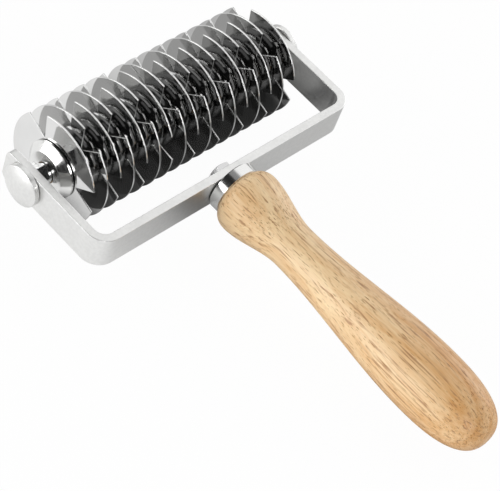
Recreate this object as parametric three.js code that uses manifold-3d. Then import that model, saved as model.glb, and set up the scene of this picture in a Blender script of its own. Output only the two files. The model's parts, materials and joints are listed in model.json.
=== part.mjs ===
// Lattice roller cutter: notched discs on a turning sleeve, held in a bent yoke with a wooden handle.
// Millimetres, +Z up. The tool lies on a table, on its discs and on the swell of its handle.
import * as THREE from 'three';
import { mergeVertices } from 'three/addons/utils/BufferGeometryUtils.js';
import Module from 'manifold-3d';

// Fits: radial play of a part in its bore, and the gap between faces clamped along the axle
const fitGap = 0.3;
const stackGap = 0.1;

// Cutting discs
const discCount = 17;
const discPitch = 7;
const discRadius = 23.8;
const discThickness = 0.7;
const teethPerDisc = 3;
const notchWidth = 10.8;
const notchDepth = 10.8;
const discTurn = THREE.MathUtils.degToRad(22.7);
const slippedDisc = 7;
const slippedTurn = THREE.MathUtils.degToRad(-12.5);

// Axle, bearings and the sleeve that carries the discs
const axleRadius = 3;
const bushWall = 1.2;
const bushLength = 8;
const sleeveWall = 1.2;
const spacerWall = 6.2;
const spacerCrown = 1;
const thrustCollarWall = 1;
const jamNutFlats = 10;
const jamNutThickness = 5;

// Tapered end nuts
const coneLength = 4.05;
const coneLip = 1.2;
const coneFaceWidth = 2.7;
const coneFlare = 3.2;
const coneFaceThickness = 0.8;

// Yoke, a flat bar bent into a U
const barThickness = 3.7;
const barWidth = 15.3;
const bendRadius = 5;
const edgeEase = 0.5;
const sideGap = 6.75;
const rollerGap = 16.4;
const armOverhang = 12.5;
const armCornerRadius = 3;

// Domed cap nuts on the ends of the axle
const capRadius = 9.1;
const capRimHeight = 2.3;
const capRise = 2.3;

// Bolt and threaded insert that hold the handle
const boltRadius = 3;
const boltHeadFlats = 10;
const boltHeadHeight = 3.2;
const insertWall = 1.5;
const insertLength = 20;
const insertSetback = 0.5;
const boltTipRoom = 2;

// Collar between crossbar and wood
const collarLength = 4.9;
const collarRadius = 11.4;
const collarChamfer = 0.4;

// Turned handle, as lengths one after the other from its front face
const handleFrontRadius = 10.2;
const noseLength = 6.1;
const noseRadius = 14.4;
const neckLength = 26.1;
const waistRadius = 9.8;
const swellLength = 74.2;
const swellRadius = 15.2;
const endLength = 33.8;
const endPower = 2.6;

// Facets of round shapes
const ringSides = 16;
const turnedSides = 28;
const toothSteps = 10;
const curveSteps = 8;
const crownSteps = 6;
const bendSteps = 4;
const cornerSteps = 2;

// A bore is wide enough that the flats of its facets still clear the shaft
const boreFor = (shaft) => (shaft + fitGap) / Math.cos(Math.PI / ringSides);

// Sizes that follow from the ones above
const bushBore = boreFor(axleRadius);
const bushRadius = bushBore + bushWall;
const sleeveBore = boreFor(bushRadius);
const sleeveRadius = sleeveBore + sleeveWall;
const discBore = boreFor(sleeveRadius);
const spacerEdge = discBore + spacerWall;
const spacerLength = discPitch - discThickness - 2 * stackGap;
const stackEnd = ((discCount - 1) * discPitch + discThickness) / 2 + stackGap;
const coneFaceRadius = discBore + coneFaceWidth;
const coneRimRadius = coneFaceRadius + coneFlare;
const coneEnd = stackEnd + coneLength;
const sleeveEnd = coneEnd - coneFaceThickness - stackGap;
const armInner = coneEnd + sideGap;
const armOuter = armInner + barThickness;
const jamNutStart = armInner - stackGap - jamNutThickness;
const thrustRadius = bushBore + thrustCollarWall;
const axleEnd = armOuter + stackGap + capRimHeight;
const crossbarInner = discRadius + rollerGap;
const crossbarOuter = crossbarInner + barThickness;
const boltBore = boreFor(boltRadius);
const insertRadius = boltBore + insertWall;
const collarEnd = fitGap + collarLength;
const handleFront = collarEnd + fitGap;
const noseEnd = handleFront + noseLength;
const neckEnd = noseEnd + neckLength;
const swellEnd = neckEnd + swellLength;
const handleEnd = swellEnd + endLength;
const insertStart = handleFront + insertSetback;
const insertEnd = insertStart + insertLength;

// Finishes
const polishedSteel = new THREE.MeshStandardMaterial({ color: 0xdadcdd, roughness: 0.12, metalness: 1 });
const satinSteel = new THREE.MeshStandardMaterial({ color: 0xcfd0ce, roughness: 0.35, metalness: 1 });
const plainSteel = new THREE.MeshStandardMaterial({ color: 0xb4b6b8, roughness: 0.3, metalness: 1 });
const bronze = new THREE.MeshStandardMaterial({ color: 0xb08d57, roughness: 0.4, metalness: 1 });
const blackPlastic = new THREE.MeshStandardMaterial({ color: 0x141414, roughness: 0.2, metalness: 0 });
const paleWood = new THREE.MeshStandardMaterial({ color: 0xe0bb88, roughness: 0.5, metalness: 0 });

const wasm = await Module();
wasm.setup();

// Closed geometry to a solid that can be joined and cut
function solidOf(geometry) {
  const bare = geometry.clone();
  bare.deleteAttribute('normal');
  bare.deleteAttribute('uv');
  const merged = mergeVertices(bare);
  return new wasm.Manifold(new wasm.Mesh({
    numProp: 3,
    vertProperties: new Float32Array(merged.attributes.position.array),
    triVerts: new Uint32Array(merged.index.array),
  }));
}

// Solid back to a geometry with flat shaded faces
function geometryOf(solid) {
  const { vertProperties, triVerts } = solid.getMesh();
  const indexed = new THREE.BufferGeometry();
  indexed.setAttribute('position', new THREE.BufferAttribute(vertProperties, 3));
  indexed.setIndex(new THREE.BufferAttribute(triVerts, 1));
  const geometry = indexed.toNonIndexed();
  geometry.computeVertexNormals();
  return geometry;
}

function named(name, geometry, material) {
  const mesh = new THREE.Mesh(geometry, material);
  mesh.name = name;
  return mesh;
}

// Turned piece about Y from [radius, height] pairs that go out at the bottom and up the outside
function turned(profile, sides) {
  const points = profile.map(([radius, height]) => new THREE.Vector2(radius, height));
  return new THREE.LatheGeometry(points, sides);
}

// Tube about Y between two heights
function ring(innerRadius, outerRadius, low, high) {
  const profile = [
    [innerRadius, low],
    [outerRadius, low],
    [outerRadius, high],
    [innerRadius, high],
    [innerRadius, low],
  ];
  return turned(profile, ringSides);
}

// Solid rod about Y between two heights
function rod(radius, low, high) {
  return turned([[0, low], [radius, low], [radius, high], [0, high]], ringSides);
}

// Disc with straight sided notches between its teeth, extruded along its own axis
function cuttingDisc() {
  const halfNotch = Math.asin(notchWidth / (2 * discRadius));
  const toothPitch = (2 * Math.PI) / teethPerDisc;
  const rootRadius = discRadius - notchDepth;
  const outline = [];
  for (let tooth = 0; tooth < teethPerDisc; tooth += 1) {
    const notch = tooth * toothPitch;
    const from = notch + halfNotch;
    const to = notch + toothPitch - halfNotch;
    const rim = new THREE.EllipseCurve(0, 0, discRadius, discRadius, from, to);
    outline.push(new THREE.Vector2(rootRadius * Math.cos(notch), rootRadius * Math.sin(notch)));
    outline.push(...rim.getPoints(toothSteps));
  }
  const shape = new THREE.Shape(outline);
  const bore = new THREE.EllipseCurve(0, 0, discBore, discBore, 0, 2 * Math.PI).getPoints(ringSides);
  shape.holes.push(new THREE.Path(bore.slice(0, ringSides)));
  const geometry = new THREE.ExtrudeGeometry(shape, { depth: discThickness, bevelEnabled: false });
  return geometry.translate(0, 0, -discThickness / 2);
}

// Spacer with a gently barrelled outside that stands highest halfway between two discs
function spacerRing() {
  const half = spacerLength / 2;
  const profile = [[discBore, -half]];
  for (let step = 0; step <= crownSteps; step += 1) {
    const along = (2 * step) / crownSteps - 1;
    profile.push([spacerEdge + spacerCrown * (1 - along ** 2), half * along]);
  }
  profile.push([discBore, half], [discBore, -half]);
  return turned(profile, turnedSides);
}

const twoDigits = (number) => String(number).padStart(2, '0');
const discPlace = (number) => (number - (discCount + 1) / 2) * discPitch;

// Discs and spacers along X: every second disc is turned by half a tooth
function discStack() {
  const stack = new THREE.Group();
  for (let number = 1; number <= discCount; number += 1) {
    const disc = named(`cutting_disc_${twoDigits(number)}`, cuttingDisc(), polishedSteel);
    const stagger = number % 2 === 0 ? Math.PI / teethPerDisc : 0;
    const slip = number === slippedDisc ? slippedTurn : 0;
    disc.position.x = discPlace(number);
    disc.rotation.set(0, Math.PI / 2, discTurn + stagger + slip);
    stack.add(disc);
  }
  for (let number = 1; number < discCount; number += 1) {
    const spacer = named(`spacer_ring_${twoDigits(number)}`, spacerRing(), blackPlastic);
    spacer.position.x = discPlace(number) + discPitch / 2;
    spacer.rotation.z = -Math.PI / 2;
    stack.add(spacer);
  }
  return stack;
}

// Tapered nut that clamps the stack, with a face that closes over the sleeve
function endCone() {
  const faceBore = boreFor(thrustRadius);
  const profile = [
    [discBore, stackEnd],
    [coneRimRadius, stackEnd],
    [coneRimRadius, stackEnd + coneLip],
    [coneFaceRadius, coneEnd],
    [faceBore, coneEnd],
    [faceBore, coneEnd - coneFaceThickness],
    [discBore, coneEnd - coneFaceThickness],
    [discBore, stackEnd],
  ];
  return turned(profile, turnedSides);
}

// Hex nut with a corner on top, against the inside of an arm
function jamNut() {
  const corner = jamNutFlats / 2 / Math.cos(Math.PI / 6);
  const blank = new THREE.CylinderGeometry(corner, corner, jamNutThickness, 6);
  blank.translate(0, jamNutStart + jamNutThickness / 2, 0);
  const bore = rod(bushBore, jamNutStart - jamNutThickness, armInner + jamNutThickness);
  return geometryOf(solidOf(blank).subtract(solidOf(bore)));
}

// Domed nut with a blind bore for the end of the axle
function capNut() {
  const base = armOuter + stackGap;
  const rim = base + capRimHeight;
  const domeRadius = (capRadius ** 2 + capRise ** 2) / (2 * capRise);
  const domeAngle = Math.asin(capRadius / domeRadius);
  const profile = [
    [0, axleEnd + fitGap],
    [boreFor(axleRadius), axleEnd + fitGap],
    [boreFor(axleRadius), base],
    [capRadius, base],
  ];
  for (let step = 0; step <= curveSteps; step += 1) {
    const angle = domeAngle * (1 - step / curveSteps);
    const drop = domeRadius * (1 - Math.cos(angle));
    profile.push([domeRadius * Math.sin(angle), rim + capRise - drop]);
  }
  return turned(profile, turnedSides);
}

// Everything at one end of the axle, with its own +Y pointing outwards
function rollerEnd(side, turn) {
  const end = new THREE.Group();
  const bush = ring(bushBore, bushRadius, sleeveEnd - bushLength, sleeveEnd);
  const thrust = ring(bushBore, thrustRadius, sleeveEnd + fitGap, jamNutStart - stackGap);
  end.add(named(`end_cone_${side}`, endCone(), polishedSteel));
  end.add(named(`bearing_bush_${side}`, bush, bronze));
  end.add(named(`thrust_collar_${side}`, thrust, plainSteel));
  end.add(named(`jam_nut_${side}`, jamNut(), plainSteel));
  end.add(named(`cap_nut_${side}`, capNut(), satinSteel));
  end.rotation.z = turn;
  return end;
}

// Sleeve and axle along X
function rollerCore() {
  const core = new THREE.Group();
  core.add(named('core_sleeve', ring(sleeveBore, sleeveRadius, -sleeveEnd, sleeveEnd), plainSteel));
  core.add(named('axle_rod', rod(axleRadius, -axleEnd, axleEnd), plainSteel));
  core.rotation.z = -Math.PI / 2;
  return core;
}

// Outline of the bent bar seen from above, with the crossbar towards -Y
function yokeOutline() {
  const outerBend = bendRadius + barThickness;
  const bendX = armInner - bendRadius;
  const bendY = -crossbarInner + bendRadius;
  const quarter = Math.PI / 2;
  const shape = new THREE.Shape();
  shape.moveTo(-armOuter, armOverhang);
  shape.absarc(-bendX, bendY, outerBend, Math.PI, Math.PI + quarter, false);
  shape.absarc(bendX, bendY, outerBend, -quarter, 0, false);
  shape.lineTo(armOuter, armOverhang);
  shape.lineTo(armInner, armOverhang);
  shape.absarc(bendX, bendY, bendRadius, 0, -quarter, true);
  shape.absarc(-bendX, bendY, bendRadius, Math.PI + quarter, Math.PI, true);
  shape.lineTo(-armInner, armOverhang);
  return shape;
}

// Side outline that rounds the free ends of the arms, extruded across the whole yoke
function armEndBlank() {
  const half = barWidth / 2;
  const centre = armOverhang - armCornerRadius;
  const corner = half - armCornerRadius;
  const back = -crossbarOuter - barThickness;
  const shape = new THREE.Shape();
  shape.moveTo(-half, back);
  shape.lineTo(half, back);
  shape.absarc(corner, centre, armCornerRadius, 0, Math.PI / 2, false);
  shape.absarc(-corner, centre, armCornerRadius, Math.PI / 2, Math.PI, false);
  const width = 2 * (armOuter + barThickness);
  const options = { depth: width, bevelEnabled: false, curveSegments: cornerSteps };
  return new THREE.ExtrudeGeometry(shape, options).translate(0, 0, -width / 2).rotateY(Math.PI / 2);
}

// Yoke with the axle holes in its arms and the bolt hole in its crossbar
function yoke() {
  const bar = new THREE.ExtrudeGeometry(yokeOutline(), {
    depth: barWidth - 2 * edgeEase,
    bevelThickness: edgeEase,
    bevelSize: edgeEase,
    bevelOffset: -edgeEase,
    bevelSegments: 1,
    curveSegments: bendSteps,
  });
  bar.translate(0, 0, edgeEase - barWidth / 2);
  const reach = armOuter + barThickness;
  const axleHole = rod(boreFor(axleRadius), -reach, reach).rotateZ(Math.PI / 2);
  const boltHole = rod(boltBore, -crossbarOuter - barThickness, -crossbarInner + barThickness);
  const solid = solidOf(bar)
    .intersect(solidOf(armEndBlank()))
    .subtract(solidOf(axleHole))
    .subtract(solidOf(boltHole));
  return named('yoke', geometryOf(solid), satinSteel);
}

// Radius of the wood at a distance from the crossbar
function handleRadius(station) {
  const ease = THREE.MathUtils.smoothstep;
  if (station < noseEnd) {
    const back = Math.min((noseEnd - station) / noseLength, 1);
    return handleFrontRadius + (noseRadius - handleFrontRadius) * Math.sqrt(1 - back ** 2);
  }
  if (station < neckEnd) {
    return noseRadius + (waistRadius - noseRadius) * ease(station, noseEnd, neckEnd);
  }
  if (station < swellEnd) {
    return waistRadius + (swellRadius - waistRadius) * ease(station, neckEnd, swellEnd);
  }
  const along = Math.min((station - swellEnd) / endLength, 1);
  return swellRadius * (1 - along ** endPower) ** (1 / endPower);
}

// Outer line of the wood from its front face to the point where its rounded end meets the axis
function handleProfile() {
  const profile = [];
  const stretch = (from, length, bend) => {
    for (let step = 0; step < curveSteps; step += 1) {
      const station = from + length * bend(step / curveSteps);
      profile.push([handleRadius(station), station]);
    }
  };
  const quickStart = (share) => 1 - Math.cos(share * Math.PI / 2);
  const quickEnd = (share) => Math.sin(share * Math.PI / 2);
  stretch(handleFront, noseLength, quickStart);
  stretch(noseEnd, neckLength, (share) => share);
  stretch(neckEnd, swellLength, (share) => share);
  stretch(swellEnd, endLength, quickEnd);
  profile.push([0, handleEnd]);
  return profile;
}

function woodenHandle() {
  const bore = boreFor(insertRadius);
  const bottom = insertEnd + boltTipRoom;
  const profile = [[0, bottom], [bore, bottom], [bore, handleFront], ...handleProfile()];
  return named('wooden_handle', turned(profile, turnedSides), paleWood);
}

// Plain collar with chamfered edges between the crossbar and the wood
function handleCollar() {
  const edge = collarRadius - collarChamfer;
  const profile = [
    [boltBore, fitGap],
    [edge, fitGap],
    [collarRadius, fitGap + collarChamfer],
    [collarRadius, collarEnd - collarChamfer],
    [edge, collarEnd],
    [boltBore, collarEnd],
    [boltBore, fitGap],
  ];
  return named('handle_collar', turned(profile, turnedSides), polishedSteel);
}

// Hex head with a flat on top, on the roller's side of the crossbar, and its shank through to the insert
function handleBolt() {
  const headTop = -barThickness - fitGap;
  const headRadius = boltHeadFlats / 2 / Math.cos(Math.PI / 6);
  const head = new THREE.CylinderGeometry(headRadius, headRadius, boltHeadHeight, 6);
  head.rotateY(Math.PI / 6).translate(0, headTop - boltHeadHeight / 2, 0);
  const shank = rod(boltRadius, headTop - boltHeadHeight / 2, insertEnd);
  return named('handle_bolt', geometryOf(solidOf(head).add(solidOf(shank))), plainSteel);
}

// Handle and what fastens it, with +Y running away from the crossbar's outer face
function handleGroup() {
  const group = new THREE.Group();
  const insert = ring(boltBore, insertRadius, insertStart, insertEnd);
  group.add(handleBolt());
  group.add(handleCollar());
  group.add(named('thread_insert', insert, bronze));
  group.add(woodenHandle());
  group.position.y = -crossbarOuter;
  group.rotation.z = Math.PI;
  return group;
}

// Angle by which the handle drops until its swell meets the plane that the discs stand on
function restTilt() {
  const drops = handleProfile().map(([radius, station]) => {
    const away = crossbarOuter + station;
    return Math.asin(discRadius / Math.hypot(away, radius)) - Math.atan2(radius, away);
  });
  return Math.min(...drops);
}

const tool = new THREE.Group();
tool.add(yoke(), rollerCore(), discStack(), handleGroup());
tool.add(rollerEnd('left', Math.PI / 2), rollerEnd('right', -Math.PI / 2));
tool.rotation.x = restTilt();

// The origin is under the middle of the tool, on the table
const box = new THREE.Box3().setFromObject(tool, true);
const middle = box.getCenter(new THREE.Vector3());
tool.position.set(-middle.x, -middle.y, -box.min.z);

const part = new THREE.Group();
part.add(tool);
export default part;
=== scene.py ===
"""Dressed model of a lattice roller cutter: staggered notched discs, a bent yoke and a wooden handle.

Lengths are in metres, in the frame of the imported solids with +Z up. Each sub-assembly is a class that
holds its sizes in the tool's own axes: X along the axle from its middle, -Y along the handle, Z across
the yoke's bar.
"""

import json
import logging
import math
from collections.abc import Iterable, Sequence
from dataclasses import dataclass
from enum import Enum

import bmesh
import bpy
from mathutils import Matrix, Vector


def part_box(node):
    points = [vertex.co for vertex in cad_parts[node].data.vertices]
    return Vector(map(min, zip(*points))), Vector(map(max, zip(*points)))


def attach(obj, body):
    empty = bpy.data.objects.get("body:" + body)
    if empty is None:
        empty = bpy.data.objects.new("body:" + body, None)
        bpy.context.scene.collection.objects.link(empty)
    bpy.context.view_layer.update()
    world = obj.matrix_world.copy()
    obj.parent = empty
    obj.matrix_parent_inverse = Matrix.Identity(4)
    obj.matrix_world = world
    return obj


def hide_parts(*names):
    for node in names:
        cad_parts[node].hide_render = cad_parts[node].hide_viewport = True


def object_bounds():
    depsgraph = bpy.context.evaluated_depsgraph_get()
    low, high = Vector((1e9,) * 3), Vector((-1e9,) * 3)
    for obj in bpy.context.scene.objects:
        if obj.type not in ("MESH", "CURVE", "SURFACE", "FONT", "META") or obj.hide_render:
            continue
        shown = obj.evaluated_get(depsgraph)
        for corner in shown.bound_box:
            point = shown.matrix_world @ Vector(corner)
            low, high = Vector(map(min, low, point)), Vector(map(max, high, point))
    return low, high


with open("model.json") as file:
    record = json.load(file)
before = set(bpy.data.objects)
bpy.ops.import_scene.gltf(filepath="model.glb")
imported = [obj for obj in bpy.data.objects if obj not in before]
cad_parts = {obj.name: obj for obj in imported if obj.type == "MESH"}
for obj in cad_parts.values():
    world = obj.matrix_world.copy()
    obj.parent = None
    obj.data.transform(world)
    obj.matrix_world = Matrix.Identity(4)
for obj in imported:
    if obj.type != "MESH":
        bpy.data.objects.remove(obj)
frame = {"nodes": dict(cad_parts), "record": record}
CAD_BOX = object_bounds()

LOG = logging.getLogger("lattice_roller")
MM = 0.001
SMOOTH_ANGLE = math.radians(35)
FLAT_FACE_CORNERS = 5
BEVEL_SEGMENTS = 3
WELD_DISTANCE = 0.001 * MM
HEX_STEPS = 72
HEX_CROWN = 0.95
HEX_CHAMFER = math.radians(30)

Point = tuple[float, float]
Place = tuple[float, float, float]
Colour = tuple[float, float, float]


class Body(Enum):
    """Bodies that pieces ride on."""

    FRAME = "frame"
    ROLLER = "roller"


class Slot(Enum):
    """Material slots of the record."""

    DISC_STEEL = "disc_steel"
    POLISHED_STEEL = "polished_steel"
    SATIN_STEEL = "satin_steel"
    PLAIN_STEEL = "plain_steel"
    BRONZE = "bronze"
    BLACK_PLASTIC = "black_plastic"
    HANDLE_WOOD = "handle_wood"


class Side(Enum):
    """Ends of the axle, by the sign of X."""

    LEFT = -1
    RIGHT = 1

    @property
    def word(self) -> str:
        """The side's name as it stands in node names."""
        return self.name.lower()

    @property
    def outward(self) -> Matrix:
        """Turn that lays a piece made along +Z onto the axle, pointing out of this end."""
        return Matrix.Rotation(self.value * math.radians(90), 4, "Y")


class Lay(Enum):
    """Directions of the fine marks in a metal surface, as marks per metre along X, Y and Z."""

    TUMBLED = (1300.0, 1300.0, 1300.0)
    AROUND_AXLE = (2600.0, 90.0, 90.0)
    ALONG_BAR = (70.0, 70.0, 2200.0)


@dataclass(frozen=True)
class ToolPlace:
    """Where the tool's own axes lie in the frame.

    Attributes:
        axle: Middle of the axle.
        tilt: Angle about X by which the handle drops, in radians.
        crossbar: Y of the crossbar's middle in the tool's own axes.
    """

    axle: Vector
    tilt: float
    crossbar: float

    @classmethod
    def from_record(cls, record: dict) -> "ToolPlace":
        """Read the place from the joint and from the flat edge of the crossbar.

        Args:
            record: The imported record.

        Returns:
            The tool's place.
        """
        axle = Vector(record["behaviour"]["joints"][0]["pos_m"])
        edge = next(mount for mount in record["mounts"] if mount["name"] == "crossbar_top")
        _, lean, rise = edge["axis"]
        tilt = math.atan2(-lean, rise)
        own = Matrix.Rotation(-tilt, 3, "X") @ (Vector(edge["pos_m"]) - axle)
        return cls(axle, tilt, own.y)

    @property
    def matrix(self) -> Matrix:
        """The tool's own axes to the frame."""
        return Matrix.Translation(self.axle) @ Matrix.Rotation(self.tilt, 4, "X")


class Graph:
    """Adds nodes to a node tree and wires them up."""

    def __init__(self, tree: bpy.types.NodeTree) -> None:
        """Keep the tree that grows."""
        self.tree = tree

    def feed(self, socket: bpy.types.NodeSocket, value: object) -> None:
        """Link a socket to another, or set its value.

        Args:
            socket: The input to fill.
            value: An output socket, or a plain value.
        """
        if isinstance(value, bpy.types.NodeSocket):
            self.tree.links.new(value, socket)
        else:
            socket.default_value = value

    def add(self, kind: str, inputs: dict[str, object] | None = None, **settings: object) -> bpy.types.Node:
        """Add one node.

        Args:
            kind: Type name of the node.
            inputs: Values or links by the names of its inputs.
            **settings: The node's own properties.

        Returns:
            The node.
        """
        node = self.tree.nodes.new(kind)
        for name, value in settings.items():
            setattr(node, name, value)
        for name, value in (inputs or {}).items():
            self.feed(node.inputs[name], value)
        return node

    def math(self, operation: str, *operands: object) -> bpy.types.NodeSocket:
        """Add a Math node.

        Args:
            operation: Name of the operation.
            *operands: Numbers or sockets, in order.

        Returns:
            The result.
        """
        node = self.add("ShaderNodeMath", operation=operation)
        for socket, value in zip(node.inputs, operands):
            self.feed(socket, value)
        return node.outputs[0]

    def vector(self, operation: str, *operands: object) -> bpy.types.Node:
        """Add a Vector Math node.

        Args:
            operation: Name of the operation.
            *operands: Vectors or sockets, in order.

        Returns:
            The node.
        """
        node = self.add("ShaderNodeVectorMath", operation=operation)
        for socket, value in zip(node.inputs, operands):
            self.feed(socket, value)
        return node

    def ramp(
        self, value: object, start: float, end: float, low: float = 0.0, high: float = 1.0
    ) -> bpy.types.NodeSocket:
        """Ease a value from one range to another, held at both ends.

        Args:
            value: Socket with the value to ease.
            start: Value that gives low.
            end: Value that gives high.
            low: Result at the start.
            high: Result at the end.

        Returns:
            The eased result's socket.
        """
        limits = {"Value": value, "From Min": start, "From Max": end, "To Min": low, "To Max": high}
        node = self.add("ShaderNodeMapRange", limits, interpolation_type="SMOOTHSTEP")
        return node.outputs["Result"]

    def blend(self, share: object, first: object, second: object) -> bpy.types.NodeSocket:
        """Mix two colours.

        Args:
            share: Part of the second colour, from 0 to 1.
            first: Colour at 0.
            second: Colour at 1.

        Returns:
            The mixed colour.
        """
        node = self.add("ShaderNodeMix", data_type="RGBA")
        for index, value in ((0, share), (6, first), (7, second)):
            self.feed(node.inputs[index], value if not isinstance(value, tuple) else (*value, 1.0))
        return node.outputs[2]

    def noise(self, vector: object, marks: Sequence[float], detail: float = 2.0) -> bpy.types.Node:
        """Add a noise stretched by its marks per metre along X, Y and Z.

        Args:
            vector: Socket with the place.
            marks: Marks per metre along each axis.
            detail: Octaves of finer noise.

        Returns:
            The noise node.
        """
        scaled = self.vector("MULTIPLY", vector, tuple(marks)).outputs[0]
        return self.add("ShaderNodeTexNoise", {"Vector": scaled, "Scale": 1.0, "Detail": detail})


def shader_graph(name: str) -> tuple[bpy.types.Material, Graph, bpy.types.Node]:
    """Start a material with one Principled shader.

    Args:
        name: Name of the material.

    Returns:
        The material, its graph and the shader node.
    """
    material = bpy.data.materials.new(name)
    material.use_nodes = True
    return material, Graph(material.node_tree), material.node_tree.nodes["Principled BSDF"]


def tool_coordinates(graph: Graph, place: ToolPlace) -> bpy.types.NodeSocket:
    """Object coordinates turned into the tool's own axes.

    Args:
        graph: The material's graph.
        place: The tool's place.

    Returns:
        Socket with the place in the tool's own axes.
    """
    shift, turn, _ = place.matrix.inverted().decompose()
    own = graph.add("ShaderNodeTexCoord").outputs["Object"]
    placed = {"Vector": own, "Location": shift, "Rotation": turn.to_euler()}
    mapping = graph.add("ShaderNodeMapping", placed)
    return mapping.outputs["Vector"]


@dataclass(frozen=True)
class MetalFinish:
    """Bare metal with fine marks in one direction and slow changes of tone.

    Attributes:
        colour: Colour of the clean surface.
        roughness: Middle of its roughness.
        lay: Direction of its fine marks.
        roughness_swing: How far the marks move the roughness up and down.
        tone_swing: Share by which the slow changes darken the colour.
        relief: Depth of the marks.
        tone_marks: Slow changes of tone per metre.
        mark_span: Noise at which a mark starts and at which it is deepest.
        tone_span: Noise at which the tone is darkest and at which it is clean.
    """

    colour: Colour
    roughness: float
    lay: Lay
    roughness_swing: float = 0.04
    tone_swing: float = 0.06
    relief: float = 0.0
    tone_marks: float = 65.0
    mark_span: Point = (0.3, 0.7)
    tone_span: Point = (0.35, 0.65)

    def build(self, slot: Slot, place: ToolPlace) -> bpy.types.Material:
        """Make the material.

        Args:
            slot: The record's slot, which names the material.
            place: The tool's place.

        Returns:
            The material.
        """
        material, graph, shader = shader_graph(slot.value)
        own = tool_coordinates(graph, place)
        marks = graph.noise(own, self.lay.value, detail=3.0).outputs["Fac"]
        clouds = graph.noise(own, (self.tone_marks,) * 3).outputs["Fac"]
        shade = tuple(channel * (1 - self.tone_swing) for channel in self.colour)
        smoothest, roughest = self.roughness - self.roughness_swing, self.roughness + self.roughness_swing
        rough = graph.ramp(marks, *self.mark_span, smoothest, roughest)
        tone = graph.blend(graph.ramp(clouds, *self.tone_span), shade, self.colour)
        graph.feed(shader.inputs["Base Color"], tone)
        graph.feed(shader.inputs["Roughness"], rough)
        shader.inputs["Metallic"].default_value = 1.0
        if self.relief:
            bump = graph.add("ShaderNodeBump", {"Distance": self.relief, "Height": marks})
            graph.feed(shader.inputs["Normal"], bump.outputs["Normal"])
        return material


@dataclass(frozen=True)
class PlasticFinish:
    """Moulded plastic with a high gloss, fine scuffs and slow changes of tone.

    Attributes:
        colour: Colour of the clean plastic.
        scuffed: Colour of its dull patches.
        roughness: Roughness of the gloss.
        scuffed_roughness: Roughness of the dull patches.
        index: Index of refraction, which sets the strength of its reflections.
        scuff_marks: Scuffs per metre along X, Y and Z.
        scuff_span: Noise at which a scuff starts and at which it is dullest.
    """

    colour: Colour
    scuffed: Colour
    roughness: float
    scuffed_roughness: float
    index: float
    scuff_marks: Place = (900.0, 160.0, 160.0)
    scuff_span: Point = (0.45, 0.75)

    def build(self, slot: Slot, place: ToolPlace) -> bpy.types.Material:
        """Make the material.

        Args:
            slot: The record's slot, which names the material.
            place: The tool's place.

        Returns:
            The material.
        """
        material, graph, shader = shader_graph(slot.value)
        own = tool_coordinates(graph, place)
        scratches = graph.noise(own, self.scuff_marks, detail=4.0).outputs["Fac"]
        scuffs = graph.ramp(scratches, *self.scuff_span)
        graph.feed(shader.inputs["Base Color"], graph.blend(scuffs, self.colour, self.scuffed))
        spread = self.scuffed_roughness - self.roughness
        graph.feed(shader.inputs["Roughness"], graph.math("MULTIPLY_ADD", scuffs, spread, self.roughness))
        shader.inputs["IOR"].default_value = self.index
        return material


@dataclass(frozen=True)
class GrainLayer:
    """One scale of the wood's grain: a noise drawn out along the handle.

    Attributes:
        across: Marks per metre across the grain.
        along: Marks per metre along the grain.
        detail: Octaves of finer noise.
        weight: Share by which it turns the wood from pale to tan.
    """

    across: float
    along: float
    detail: float = 2.0
    weight: float = 0.0

    def noise(self, graph: Graph, place: object) -> bpy.types.Node:
        """Draw the layer.

        Args:
            graph: The material's graph.
            place: Socket with the place in the tool's own axes.

        Returns:
            The noise node.
        """
        return graph.noise(place, (self.across, self.along, self.across), self.detail)


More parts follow.
